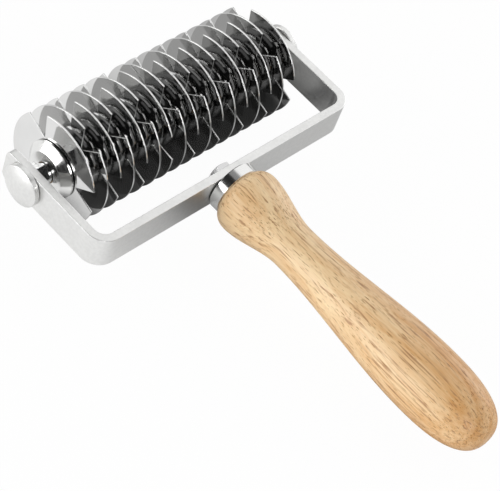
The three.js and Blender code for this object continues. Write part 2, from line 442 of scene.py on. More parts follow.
@dataclass(frozen=True)
class WoodFinish:
    """Pale hardwood under a clear lacquer, with growth rings, fibres and open pores along the handle.

    Attributes:
        pale: Colour of the early wood.
        tan: Colour of the late wood.
        brown: Colour of the darkest lines between the fibres.
        pore: Colour at the bottom of a pore.
        wander: Slow bends of the grain.
        wander_reach: How far the bends carry the grain from side to side.
        pith: X and Z of the tree's middle, in the tool's own axes.
        ring_width: Width of a growth ring.
        late_rise: Shares of a ring between which its late wood darkens.
        late_fall: Shares of a ring between which it turns pale again.
        late_weight: Share by which late wood turns to tan.
        end_tone_and_shade: Where the wood starts to turn to tan and where it has turned, towards the
            handle's end
            and its right side: partly the wood's own deeper tone, partly painted shade of the end and side
                that
            get less light.
        end_tone_and_shade_lean: Direction in which that is measured, in the tool's own axes.
        end_tone_and_shade_weight: Share by which it turns to tan there, own tone and painted shade together.
        fibres: The finest layer, which also roughens the surface.
        streaks: Long streaks.
        flecks: Short flecks, which also break up the lines.
        patches: Broad patches.
        layer_span: Noise at which a layer is pale and at which it is tan.
        lines: Brown lines between the fibres.
        line_span: Noise at which a line starts and at which it is darkest.
        fleck_span: Noise between which a fleck fills a line.
        line_strength: Share of brown in a line, without a fleck and with one.
        clusters: Where pores gather.
        cluster_pull: How much more likely pores are in a cluster.
        pore_chance: Sum of chance and cluster at which pores start and at which all are open.
        pore_cells: Cells per metre across and along that hold one pore each, from long pores to short.
        pore_size: Smallest and largest pore, as shares of its cell.
        pore_edge: Shares of a pore's size between which it deepens.
        pore_strength: Share of the pore's colour at its bottom.
        fibre_span: Noise of the smoothest and of the roughest fibres.
        roughness: Roughness of both.
        fibre_relief: Height of the fibres, as a share of a pore's depth.
        relief: Depth of a pore.
        relief_strength: How strongly the relief bends the light.
        sealed: Depth of a pore, as a share, at which no lacquer is left.
        coat: Weight of the lacquer outside the pores.
        coat_roughness: Roughness of the lacquer.
        gloss: Specular level outside a pore and in it.
    """

    pale: Colour = (0.97, 0.76, 0.47)
    tan: Colour = (0.66, 0.34, 0.115)
    brown: Colour = (0.4, 0.185, 0.072)
    pore: Colour = (0.27, 0.1, 0.024)
    wander: GrainLayer = GrainLayer(22.0, 9.0)
    wander_reach: float = 6 * MM
    pith: Point = (46 * MM, -38 * MM)
    ring_width: float = 4.6 * MM
    late_rise: Point = (0.3, 0.9)
    late_fall: Point = (1.0, 0.94)
    late_weight: float = 0.15
    # Tan towards the handle's end and its right side: partly the wood's own tone, partly painted shade where
    # less light falls.
    end_tone_and_shade: Point = (90 * MM, 175 * MM)
    end_tone_and_shade_lean: Place = (2.0, -1.0, 0.0)
    end_tone_and_shade_weight: float = 0.45
    fibres: GrainLayer = GrainLayer(1500.0, 42.0, 4.0, 0.18)
    streaks: GrainLayer = GrainLayer(230.0, 8.0, 3.0, 0.16)
    flecks: GrainLayer = GrainLayer(1000.0, 120.0, 3.0, 0.16)
    patches: GrainLayer = GrainLayer(90.0, 22.0, 3.0, 0.16)
    layer_span: Point = (0.34, 0.68)
    lines: GrainLayer = GrainLayer(1000.0, 12.0)
    line_span: Point = (0.54, 0.68)
    fleck_span: Point = (0.3, 0.6)
    line_strength: Point = (0.25, 0.85)
    clusters: GrainLayer = GrainLayer(85.0, 16.0)
    cluster_pull: float = 1.1
    pore_chance: Point = (0.82, 1.2)
    pore_cells: tuple[Point, ...] = ((1400.0, 60.0), (1900.0, 110.0), (2500.0, 230.0))
    pore_size: Point = (0.18, 0.32)
    pore_edge: Point = (1.0, 0.4)
    pore_strength: float = 0.85
    fibre_span: Point = (0.3, 0.7)
    roughness: Point = (0.4, 0.5)
    fibre_relief: float = 0.3
    relief: float = 0.07 * MM
    relief_strength: float = 0.6
    sealed: float = 0.5
    coat: float = 0.4
    coat_roughness: float = 0.42
    gloss: Point = (0.35, 0.05)

    def build(self, slot: Slot, place: ToolPlace) -> bpy.types.Material:
        """Make the material.

        Args:
            slot: The record's slot, which names the material.
            place: The tool's place.

        Returns:
            The material.
        """
        material, graph, shader = shader_graph(slot.value)
        own = tool_coordinates(graph, place)
        reach = self.wander_reach
        bends = self.wander.noise(graph, own).outputs["Color"]
        offset = graph.vector("MULTIPLY_ADD", bends, (reach,) * 3, (-reach / 2,) * 3).outputs[0]
        grain = graph.vector("ADD", own, offset).outputs[0]
        fibres = self.fibres.noise(graph, grain).outputs["Fac"]
        pores = self.pores(graph, grain)
        base = self.colour(graph, grain, fibres)
        height = graph.math("SUBTRACT", graph.math("MULTIPLY", fibres, self.fibre_relief), pores)
        depth = {"Strength": self.relief_strength, "Distance": self.relief, "Height": height}
        dressed = {
            "Base Color": graph.blend(pores, base, self.pore),
            "Roughness": graph.ramp(fibres, *self.fibre_span, *self.roughness),
            "Normal": graph.add("ShaderNodeBump", depth).outputs["Normal"],
            "Coat Weight": graph.ramp(pores, 0.0, self.sealed, self.coat, 0.0),
            "Coat Roughness": self.coat_roughness,
            "Specular IOR Level": graph.ramp(pores, 0.0, self.sealed, *self.gloss),
        }
        for socket, value in dressed.items():
            graph.feed(shader.inputs[socket], value)
        return material

    def colour(self, graph: Graph, grain: object, fibres: object) -> bpy.types.NodeSocket:
        """Colour of the wood between its pores.

        Args:
            graph: The material's graph.
            grain: Socket with the place, wandering with the grain.
            fibres: Socket with the fine fibre noise.

        Returns:
            Socket with the colour.
        """
        across = graph.vector("MULTIPLY", grain, (1.0, 0.0, 1.0)).outputs[0]
        reach = graph.vector("DISTANCE", across, (self.pith[0], 0.0, self.pith[1])).outputs["Value"]
        ring = graph.math("FRACT", graph.math("DIVIDE", reach, self.ring_width))
        late = graph.math("MULTIPLY", graph.ramp(ring, *self.late_rise), graph.ramp(ring, *self.late_fall))
        # Tan towards the handle's end and its right side: partly the wood's own tone, partly painted shade
        # where less light falls.
        lean = graph.vector("DOT_PRODUCT", grain, self.end_tone_and_shade_lean).outputs["Value"]
        end_tone_and_shade = graph.ramp(lean, *self.end_tone_and_shade, 0.0, self.end_tone_and_shade_weight)
        share = graph.math("MULTIPLY_ADD", late, self.late_weight, end_tone_and_shade)
        streaks = self.streaks.noise(graph, grain).outputs["Fac"]
        flecks = self.flecks.noise(graph, grain).outputs["Fac"]
        patches = self.patches.noise(graph, grain).outputs["Fac"]
        for noise, layer in (
            (streaks, self.streaks),
            (flecks, self.flecks),
            (patches, self.patches),
            (fibres, self.fibres),
        ):
            share = graph.math("MULTIPLY_ADD", graph.ramp(noise, *self.layer_span), layer.weight, share)
        wood = graph.blend(graph.math("MINIMUM", share, 1.0), self.pale, self.tan)
        lines = graph.ramp(self.lines.noise(graph, grain).outputs["Fac"], *self.line_span)
        broken = graph.ramp(flecks, *self.fleck_span, *self.line_strength)
        return graph.blend(graph.math("MULTIPLY", lines, broken), wood, self.brown)

    def pores(self, graph: Graph, grain: object) -> bpy.types.NodeSocket:
        """Dark dashes along the grain, in loose clusters.

        Args:
            graph: The material's graph.
            grain: Socket with the place, wandering with the grain.

        Returns:
            Socket with the strength of the pore, from 0 to 1.
        """
        cluster = self.clusters.noise(graph, grain).outputs["Fac"]
        smallest, largest = self.pore_size
        strength = 0.0
        for across, along in self.pore_cells:
            cells = graph.vector("MULTIPLY", grain, (across, along, across)).outputs[0]
            cell = graph.add("ShaderNodeTexVoronoi", {"Vector": cells, "Scale": 1.0})
            chance = graph.add("ShaderNodeSeparateColor", {"Color": cell.outputs["Color"]})
            likely = graph.math("MULTIPLY_ADD", cluster, self.cluster_pull, chance.outputs["Red"])
            kept = graph.ramp(likely, *self.pore_chance)
            size = graph.math("MULTIPLY_ADD", chance.outputs["Green"], largest - smallest, smallest)
            inside = graph.ramp(graph.math("DIVIDE", cell.outputs["Distance"], size), *self.pore_edge)
            strength = graph.math("MAXIMUM", graph.math("MULTIPLY", inside, kept), strength)
        return graph.math("MULTIPLY", strength, self.pore_strength)


FINISHES: dict[Slot, MetalFinish | PlasticFinish | WoodFinish] = {
    Slot.DISC_STEEL: MetalFinish((0.68, 0.68, 0.675), 0.06, Lay.TUMBLED, 0.02, 0.04),
    Slot.POLISHED_STEEL: MetalFinish((0.72, 0.72, 0.71), 0.17, Lay.AROUND_AXLE, 0.03, 0.05),
    Slot.SATIN_STEEL: MetalFinish((0.71, 0.71, 0.7), 0.34, Lay.ALONG_BAR, 0.05, 0.05, 0.0015 * MM, 700.0),
    Slot.PLAIN_STEEL: MetalFinish((0.6, 0.6, 0.6), 0.18, Lay.AROUND_AXLE, 0.06, 0.1, 0.001 * MM),
    Slot.BRONZE: MetalFinish((0.4, 0.26, 0.12), 0.4, Lay.AROUND_AXLE, 0.06, 0.15, 0.002 * MM),
    Slot.BLACK_PLASTIC: PlasticFinish((0.005, 0.005, 0.005), (0.009, 0.009, 0.008), 0.08, 0.13, 2.8),
    Slot.HANDLE_WOOD: WoodFinish(),
}


def arc(centre: Point, radius: float, start: float, end: float, steps: int) -> list[Point]:
    """Points along an arc, with both ends.

    Args:
        centre: Middle of the arc.
        radius: Its radius.
        start: First angle, in degrees.
        end: Last angle, in degrees.
        steps: Segments between them.

    Returns:
        The points.
    """
    across, up = centre
    angles = [math.radians(start + (end - start) * step / steps) for step in range(steps + 1)]
    return [(across + radius * math.cos(angle), up + radius * math.sin(angle)) for angle in angles]


def smooth(mesh: bpy.types.Mesh) -> bpy.types.Mesh:
    """Shade a mesh smooth, with its corners kept sharp and its flat faces flat.

    Args:
        mesh: The mesh to shade.

    Returns:
        The same mesh.
    """
    mesh.set_sharp_from_angle(angle=SMOOTH_ANGLE)
    for polygon in mesh.polygons:
        polygon.use_smooth = len(polygon.vertices) < FLAT_FACE_CORNERS
    return mesh


def lofted(name: str, rings: Sequence[Sequence[Sequence[float]]], looped: bool) -> bpy.types.Mesh:
    """Skin a row of rings.

    Args:
        name: Name of the mesh.
        rings: Rings of points, all as long as each other, or of one point for a pole.
        looped: Whether the last ring joins the first. Otherwise open end rings get a flat face.

    Returns:
        The closed mesh, with its faces outwards.
    """
    mesh = bpy.data.meshes.new(name)
    shell = bmesh.new()
    sides = max(len(ring) for ring in rings)
    loops = [[shell.verts.new(point) for point in ring] for ring in rings]
    around = [loop if len(loop) > 1 else loop * sides for loop in loops]
    pairs = list(zip(around, around[1:]))
    if looped:
        pairs.append((around[-1], around[0]))
    for low, high in pairs:
        for index in range(sides):
            following = (index + 1) % sides
            corners = (low[index], low[following], high[following], high[index])
            distinct = list(dict.fromkeys(corners))
            if len(distinct) > 2:
                shell.faces.new(distinct)
    if not looped:
        for loop in (loops[0], loops[-1]):
            if len(loop) > 1:
                shell.faces.new(loop)
    bmesh.ops.recalc_face_normals(shell, faces=shell.faces)
    shell.to_mesh(mesh)
    shell.free()
    return smooth(mesh)


def level_ring(radius: float, height: float, steps: int = HEX_STEPS) -> list[Place]:
    """Points on a level circle.

    Args:
        radius: Its radius.
        height: Its height.
        steps: Points on it, by default as many as a hex section has.

    Returns:
        The points, against the clock.
    """
    turns = [2 * math.pi * step / steps for step in range(steps)]
    return [(radius * math.cos(turn), radius * math.sin(turn), height) for turn in turns]


def turned(name: str, profile: Sequence[Point], sides: int) -> bpy.types.Mesh:
    """Spin a profile about Z.

    Args:
        name: Name of the mesh.
        profile: Radius and height pairs, from axis to axis, or once round the section of a ring.
        sides: Facets around the axis.

    Returns:
        The closed mesh.
    """
    rings = [level_ring(radius, height, sides) if radius else [(0, 0, height)] for radius, height in profile]
    return lofted(name, rings, looped=profile[0][0] > 0)


def tube_profile(bore: float, outside: float, low: float, high: float, ease: float) -> list[Point]:
    """Section of a ring with eased edges.

    Args:
        bore: Inner radius.
        outside: Outer radius.
        low: Height of one end.
        high: Height of the other.
        ease: Width of the chamfer on each edge.

    Returns:
        Radius and height pairs, once round the section.
    """
    return [
        (bore, low + ease),
        (bore + ease, low),
        (outside - ease, low),
        (outside, low + ease),
        (outside, high - ease),
        (outside - ease, high),
        (bore + ease, high),
        (bore, high - ease),
    ]


def rod_profile(radius: float, low: float, high: float, ease: float) -> list[Point]:
    """Outline of a rod with chamfered ends.

    Args:
        radius: Radius of the rod.
        low: Height of one end.
        high: Height of the other.
        ease: Width of the chamfers.

    Returns:
        Radius and height pairs, from axis to axis.
    """
    chamfers = [(radius - ease, low), (radius, low + ease), (radius, high - ease), (radius - ease, high)]
    return [(0, low), *chamfers, (0, high)]


def hex_sections(flats: float, chamfered: float, seat: float) -> list[list[Place]]:
    """Sections of a hex head or nut along Z, with a corner on X, whose far side is chamfered round.

    Args:
        flats: Width across its flats.
        chamfered: Height of the chamfered face.
        seat: Height of the plain face.

    Returns:
        The crown of the chamfer, its lower edge and the plain face's edge.
    """
    crown = flats / 2 * HEX_CROWN
    sixth = math.pi / 3
    sign = math.copysign(math.tan(HEX_CHAMFER), seat - chamfered)
    edge = []
    for step in range(HEX_STEPS):
        turn = 2 * math.pi * step / HEX_STEPS
        radius = flats / 2 / math.cos((turn % sixth) - sixth / 2)
        edge.append((radius * math.cos(turn), radius * math.sin(turn), chamfered + sign * (radius - crown)))
    return [level_ring(crown, chamfered), edge, [(x, y, seat) for x, y, _ in edge]]


def evaluated(holder: bpy.types.Object) -> bpy.types.Mesh:
    """Keep what an object's modifiers make as a plain mesh, and remove the object.

    Args:
        holder: The object with its modifiers.

    Returns:
        The plain mesh.
    """
    depsgraph = bpy.context.evaluated_depsgraph_get()
    mesh = bpy.data.meshes.new_from_object(holder.evaluated_get(depsgraph))
    holder.modifiers.clear()
    bpy.data.objects.remove(holder)
    return smooth(mesh)


def holder_of(mesh: bpy.types.Mesh) -> bpy.types.Object:
    """Put a mesh in a passing object that can take modifiers.

    Args:
        mesh: The mesh.

    Returns:
        The object.
    """
    holder = bpy.data.objects.new(mesh.name, mesh)
    bpy.context.scene.collection.objects.link(holder)
    return holder


def drilled(mesh: bpy.types.Mesh, drills: Iterable[bpy.types.Mesh]) -> bpy.types.Mesh:
    """Cut holes in a mesh.

    Args:
        mesh: The mesh to cut.
        drills: Closed meshes of the holes.

    Returns:
        The mesh with its holes.
    """
    holder = holder_of(mesh)
    cutters = [holder_of(drill) for drill in drills]
    for cutter in cutters:
        cut = holder.modifiers.new(cutter.name, "BOOLEAN")
        cut.operation = "DIFFERENCE"
        cut.solver = "EXACT"
        cut.object = cutter
    result = evaluated(holder)
    for cutter in cutters:
        bpy.data.objects.remove(cutter)
    return result


class RowTree:
    """Geometry Nodes tree that sets copies of a piece in a row along X, each turned about X."""

    ROW_INPUTS = {
        "Count": "NodeSocketInt",
        "Pitch": "NodeSocketFloat",
        "Turn": "NodeSocketFloat",
        "Stagger": "NodeSocketFloat",
        "Slipped Index": "NodeSocketInt",
        "Slip": "NodeSocketFloat",
        "Material": "NodeSocketMaterial",
    }

    def __init__(self, name: str, inputs: dict[str, str] | None = None) -> None:
        """Start the tree with its named inputs.

        Args:
            name: Name of the tree.
            inputs: Socket types of further inputs, by name.
        """
        self.tree = bpy.data.node_groups.new(name, "GeometryNodeTree")
        face = self.tree.interface
        face.new_socket("Geometry", in_out="INPUT", socket_type="NodeSocketGeometry")
        face.new_socket("Geometry", in_out="OUTPUT", socket_type="NodeSocketGeometry")
        for label, kind in {**self.ROW_INPUTS, **(inputs or {})}.items():
            face.new_socket(label, in_out="INPUT", socket_type=kind)
        self.graph = Graph(self.tree)
        self.given = self.graph.add("NodeGroupInput").outputs
        self.set_in_row(self.single())

    def single(self) -> bpy.types.NodeSocket:
        """Geometry of one piece: here the mesh that the modifier sits on."""
        return self.given["Geometry"]

    def set_in_row(self, single: bpy.types.NodeSocket) -> None:
        """Copy the piece along the row, realize the copies and give them their material.

        Args:
            single: Geometry of one piece.
        """
        graph, given = self.graph, self.given
        span = graph.math("MULTIPLY", graph.math("SUBTRACT", given["Count"], 1.0), given["Pitch"])
        start = graph.add("ShaderNodeCombineXYZ", {"X": graph.math("MULTIPLY", span, -0.5)})
        step = graph.add("ShaderNodeCombineXYZ", {"X": given["Pitch"]})
        ends = {"Count": given["Count"], "Start Location": start.outputs[0], "Offset": step.outputs[0]}
        line = graph.add("GeometryNodeMeshLine", ends, mode="OFFSET", count_mode="TOTAL")
        index = graph.add("GeometryNodeInputIndex").outputs[0]
        every_second = graph.math("MODULO", index, 2.0)
        slipped = graph.math("COMPARE", index, given["Slipped Index"], 0.5)
        turn = graph.math("MULTIPLY_ADD", every_second, given["Stagger"], given["Turn"])
        turn = graph.math("MULTIPLY_ADD", slipped, given["Slip"], turn)
        rotation = graph.add("ShaderNodeCombineXYZ", {"X": turn}).outputs[0]
        copies = {"Points": line.outputs["Mesh"], "Instance": single, "Rotation": rotation}
        row = graph.add("GeometryNodeInstanceOnPoints", copies)
        real = graph.add("GeometryNodeRealizeInstances", {"Geometry": row.outputs["Instances"]})
        dressed = {"Geometry": real.outputs["Geometry"], "Material": given["Material"]}
        painted = graph.add("GeometryNodeSetMaterial", dressed)
        graph.add("NodeGroupOutput", {"Geometry": painted.outputs["Geometry"]})

    def grow(self, seed: bpy.types.Mesh, values: dict[str, object], bevel: float = 0.0) -> bpy.types.Mesh:
        """Run the tree and keep its result as a plain mesh.

        Args:
            seed: Mesh that the modifier sits on.
            values: Values of the tree's inputs, by name.
            bevel: Width of a chamfer on all corners, or 0 for none.

        Returns:
            The plain mesh.
        """
        holder = holder_of(seed)
        modifier = holder.modifiers.new(self.tree.name, "NODES")
        modifier.node_group = self.tree
        for item in self.tree.interface.items_tree:
            if item.in_out == "INPUT" and item.name in values:
                modifier[item.identifier] = values[item.name]
        if bevel:
            chamfer = holder.modifiers.new("chamfer", "BEVEL")
            chamfer.width = bevel
            chamfer.limit_method = "ANGLE"
            chamfer.segments = BEVEL_SEGMENTS
            chamfer.use_clamp_overlap = False
        return evaluated(holder)


class NotchedDiscRow(RowTree):
    """Row of discs with straight sided notches between their teeth."""

    DISC_INPUTS = {
        "Teeth": "NodeSocketInt",
        "Rim Steps": "NodeSocketInt",
        "Radius": "NodeSocketFloat",
        "Notch Width": "NodeSocketFloat",
        "Notch Depth": "NodeSocketFloat",
        "Bore Radius": "NodeSocketFloat",
        "Bore Steps": "NodeSocketInt",
        "Thickness": "NodeSocketFloat",
    }

    def __init__(self, name: str) -> None:
        """Start the tree with the disc's inputs."""
        super().__init__(name, self.DISC_INPUTS)

    def outline(self) -> bpy.types.NodeSocket:
        """Closed curve round the teeth: a root point and then a rim arc for each tooth.

        Returns:
            Socket with the curve.
        """
        graph, given = self.graph, self.given
        per_tooth = graph.math("ADD", given["Rim Steps"], 2.0)
        total = graph.math("MULTIPLY", given["Teeth"], per_tooth)
        circle = graph.add("GeometryNodeMeshCircle", {"Vertices": total})
        index = graph.add("GeometryNodeInputIndex").outputs[0]
        step = graph.math("MODULO", index, per_tooth)
        tooth = graph.math("FLOOR", graph.math("DIVIDE", index, per_tooth))
        pitch = graph.math("DIVIDE", 2 * math.pi, given["Teeth"])
        share = graph.math("DIVIDE", graph.math("MULTIPLY", given["Notch Width"], 0.5), given["Radius"])
        half_notch = graph.math("ARCSINE", share)
        arc_angle = graph.math("MULTIPLY_ADD", half_notch, -2.0, pitch)
        step_angle = graph.math("DIVIDE", arc_angle, given["Rim Steps"])
        on_rim = graph.math("GREATER_THAN", step, 0.5)
        along = graph.math("MULTIPLY_ADD", graph.math("SUBTRACT", step, 1.0), step_angle, half_notch)
        angle = graph.math("MULTIPLY_ADD", tooth, pitch, graph.math("MULTIPLY", on_rim, along))
        root = graph.math("SUBTRACT", given["Radius"], given["Notch Depth"])
        radius = graph.math("MULTIPLY_ADD", on_rim, given["Notch Depth"], root)
        sides = {
            "X": graph.math("MULTIPLY", radius, graph.math("COSINE", angle)),
            "Y": graph.math("MULTIPLY", radius, graph.math("SINE", angle)),
        }
        place = graph.add("ShaderNodeCombineXYZ", sides).outputs[0]
        moved = graph.add("GeometryNodeSetPosition", {"Geometry": circle.outputs[0], "Position": place})
        return graph.add("GeometryNodeMeshToCurve", {"Mesh": moved.outputs[0]}).outputs[0]

    def single(self) -> bpy.types.NodeSocket:
        """One disc across X: the outline and the bore, filled and given their thickness.

        Returns:
            Socket with the closed mesh.
        """
        graph, given = self.graph, self.given
        bore = {"Resolution": given["Bore Steps"], "Radius": given["Bore Radius"]}
        hole = graph.add("GeometryNodeCurvePrimitiveCircle", bore)
        both = graph.add("GeometryNodeJoinGeometry")
        for curve in (self.outline(), hole.outputs["Curve"]):
            self.tree.links.new(curve, both.inputs[0])
        face = graph.add("GeometryNodeFillCurve", {"Curve": both.outputs[0]}, mode="NGONS").outputs[0]
        thick = {"Mesh": face, "Offset Scale": given["Thickness"], "Individual": False}
        body = graph.add("GeometryNodeExtrudeMesh", thick, mode="FACES").outputs["Mesh"]
        back = graph.add("GeometryNodeFlipFaces", {"Mesh": face}).outputs[0]
        shell = graph.add("GeometryNodeJoinGeometry")
        for side in (body, back):
            self.tree.links.new(side, shell.inputs[0])
        welded = {"Geometry": shell.outputs[0], "Distance": WELD_DISTANCE}
        closed = graph.add("GeometryNodeMergeByDistance", welded).outputs[0]
        centred = graph.add("ShaderNodeCombineXYZ", {"X": graph.math("MULTIPLY", given["Thickness"], -0.5)})
        upright = (0.0, math.radians(90), 0.0)
        stood = {"Geometry": closed, "Translation": centred.outputs[0], "Rotation": upright}
        return graph.add("GeometryNodeTransform", stood).outputs[0]


@dataclass
class Workshop:
    """What every sub-assembly needs.

    Attributes:
        place: The tool's place in the frame.
        materials: The finished material of each slot.
    """

    place: ToolPlace
    materials: dict[Slot, bpy.types.Material]

    def add(
        self, name: str, mesh: bpy.types.Mesh, local: Matrix, slot: Slot, body: Body, nodes: Sequence[str]
    ) -> bpy.types.Object:
        """Set a finished mesh in its place, dress it and let it ride on its body.

        Args:
            name: Name of the piece.
            mesh: Its mesh.
            local: The mesh's own axes to the tool's.
            slot: Its finish.
            body: The body that it rides on.
            nodes: The solids that it stands for.

        Returns:
            The piece.
        """
        mesh.transform(self.place.matrix @ local)
        mesh.materials.clear()
        mesh.materials.append(self.materials[slot])
        piece = bpy.data.objects.new(name, mesh)
        bpy.context.scene.collection.objects.link(piece)
        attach(piece, body.value)
        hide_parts(*nodes)
        LOG.info("%s: %d faces, %s, on %s", name, len(mesh.polygons), slot.value, body.value)
        return piece


def span_along_axle(node: str) -> Point:
    """Lowest and highest X of a solid.

    Args:
        node: Name of the solid's node.

    Returns:
        Both ends along the axle.
    """
    low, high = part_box(node)
    return low.x, high.x


def span_outward(node: str) -> Point:
    """Nearest and farthest distance of a solid from the middle of the axle.

    Args:
        node: Name of the node of a solid that lies on one side.

    Returns:
        Both distances.
    """
    near, far = sorted(abs(end) for end in span_along_axle(node))
    return near, far


@dataclass
class Roller:
    """Everything that turns on the axle: discs, spacers, end cones, sleeve and bushes."""

    shop: Workshop
    disc_radius: float = 23.8 * MM
    notch_width: float = 10.8 * MM
    notch_depth: float = 10.8 * MM
    teeth: int = 3
    disc_turn: float = math.radians(22.7)
    slipped_disc: int = 7
    slipped_turn: float = math.radians(-12.5)
    disc_bore: float = 6.4 * MM
    disc_chamfer: float = 0.2 * MM
    rim_steps: int = 56
    spacer_edge: float = 12.8 * MM
    spacer_crown: float = 1.0 * MM
    bore_ease: float = 0.25 * MM
    sleeve_radius: float = 6.2 * MM
    sleeve_bore: float = 4.75 * MM
    bush_bore: float = 3.2 * MM
    bush_play: float = 0.05 * MM
    cone_rim: float = 12.49 * MM
    cone_face: float = 9.29 * MM
    cone_lip: float = 1.2 * MM
    cone_seat: float = 9.0 * MM
    cone_dish: float = 0.3 * MM
    cone_ease: float = 0.08 * MM
    face_ease: float = 0.3 * MM
    face_bore: float = 4.7 * MM
    face_thickness: float = 0.8 * MM
    barrel_steps: int = 18
    lip_steps: int = 4
    face_steps: int = 6
    sides: int = 72

    def build(self) -> None:
        """Build every piece of the roller."""
        self.build_discs()
        self.build_spacers()
        self.build_sleeve()
        for side in Side:
            self.build_cone(side)
            self.build_bush(side)

    def row_values(self, nodes: Sequence[str], slot: Slot) -> dict[str, object]:
        """Inputs of a row that stands where the solids stand.

        Args:
            nodes: The solids' nodes, from left to right.
            slot: Finish of the row.

        Returns:
            Values by input name.
        """
        first, last = (sum(span_along_axle(node)) / 2 for node in (nodes[0], nodes[-1]))
        pitch = (last - first) / (len(nodes) - 1)
        material = self.shop.materials[slot]
        return {"Count": len(nodes), "Pitch": pitch, "Slipped Index": -1, "Material": material}

    def build_discs(self) -> bpy.types.Object:
        """Build the row of cutting discs, every second one turned by half a tooth.

        Returns:
            The piece.
        """
        nodes = sorted(node for node in frame["nodes"] if node.startswith("cutting_disc"))
        low, high = span_along_axle(nodes[0])
        values = self.row_values(nodes, Slot.DISC_STEEL) | {
            "Teeth": self.teeth,
            "Rim Steps": self.rim_steps,
            "Radius": self.disc_radius,
            "Notch Width": self.notch_width,
            "Notch Depth": self.notch_depth,
            "Bore Radius": self.disc_bore,
            "Bore Steps": self.sides,
            "Thickness": high - low,
            "Turn": self.disc_turn,
            "Stagger": math.pi / self.teeth,
            "Slipped Index": self.slipped_disc - 1,
            "Slip": self.slipped_turn,
        }
        seed = bpy.data.meshes.new("disc_seed")
        mesh = NotchedDiscRow("notched_disc_row").grow(seed, values, self.disc_chamfer)
        return self.shop.add("discs_notched", mesh, Matrix(), Slot.DISC_STEEL, Body.ROLLER, nodes)

    def build_spacers(self) -> bpy.types.Object:
        """Build the row of gently barrelled black spacers between the discs.

        Returns:
            The piece.
        """
        nodes = sorted(node for node in frame["nodes"] if node.startswith("spacer_ring"))
        low, high = span_along_axle(nodes[0])
        half, bore, ease = (high - low) / 2, self.disc_bore, self.bore_ease
        profile = [
            (bore, -half + ease),
            (bore + ease, -half),
            *self.barrel(half),
            (bore + ease, half),
            (bore, half - ease),
        ]
        seed = turned("spacer_seed", profile, 2 * self.sides)
        seed.transform(Side.RIGHT.outward)
        mesh = RowTree("ring_row").grow(seed, self.row_values(nodes, Slot.BLACK_PLASTIC))
        return self.shop.add("spacers_moulded", mesh, Matrix(), Slot.BLACK_PLASTIC, Body.ROLLER, nodes)

    def barrel(self, half: float) -> list[Point]:
        """Outline of a spacer's round back.

        Args:
            half: Half of the spacer's length.

        Returns:
            Radius and height pairs, from one end to the other.
        """
        curve = (half**2 + self.spacer_crown**2) / (2 * self.spacer_crown)
        spread = math.degrees(math.asin(half / curve))
        centre = (self.spacer_edge + self.spacer_crown - curve, 0)
        return arc(centre, curve, -spread, spread, self.barrel_steps)

    def build_sleeve(self) -> bpy.types.Object:
        """Build the sleeve that carries the stack.

        Returns:
            The piece.
        """
        low, high = span_along_axle("core_sleeve")
        profile = tube_profile(self.sleeve_bore, self.sleeve_radius, low, high, self.bore_ease)
        mesh = turned("sleeve", profile, self.sides)
        along = Side.RIGHT.outward
        return self.shop.add("sleeve_drawn", mesh, along, Slot.PLAIN_STEEL, Body.ROLLER, ["core_sleeve"])

    def build_cone(self, side: Side) -> bpy.types.Object:
        """Build the tapered nut at one end of the stack, closed in front of the sleeve.

        Args:
            side: Which end.

        Returns:
            The piece.
        """
        node = f"end_cone_{side.word}"
        near, far = span_outward(node)
        ease, inside, rounding = self.cone_ease, far - self.face_thickness, self.face_ease
        slope = math.degrees(math.atan2(far - near - self.cone_lip, self.cone_rim - self.cone_face))
        profile = [
            (self.disc_bore, near),
            (self.cone_seat, near),
            (self.cone_seat, near + self.cone_dish),
            (self.cone_rim - ease, near + self.cone_dish),
            (self.cone_rim, near + self.cone_dish + ease),
            *arc((self.cone_rim - ease, near + self.cone_lip), ease, 0, 90 - slope, self.lip_steps),
            *arc((self.cone_face - rounding, far - rounding), rounding, 90 - slope, 90, self.face_steps),
            (self.face_bore + ease, far),
            (self.face_bore, far - ease),
            (self.face_bore, inside),
            (self.disc_bore, inside),
        ]
        mesh = turned(node, profile, self.sides)
        name = f"cone_{side.word}_turned"
        return self.shop.add(name, mesh, side.outward, Slot.POLISHED_STEEL, Body.ROLLER, [node])

    def build_bush(self, side: Side) -> bpy.types.Object:
        """Build the bearing bush in one end of the sleeve.

        Args:
            side: Which end.

        Returns:
            The piece.
        """
        node = f"bearing_bush_{side.word}"
        near, far = span_outward(node)
        profile = tube_profile(self.bush_bore, self.sleeve_bore - self.bush_play, near, far, self.cone_ease)
        mesh = turned(node, profile, self.sides)
        name = f"bush_{side.word}_turned"
        return self.shop.add(name, mesh, side.outward, Slot.BRONZE, Body.ROLLER, [node])


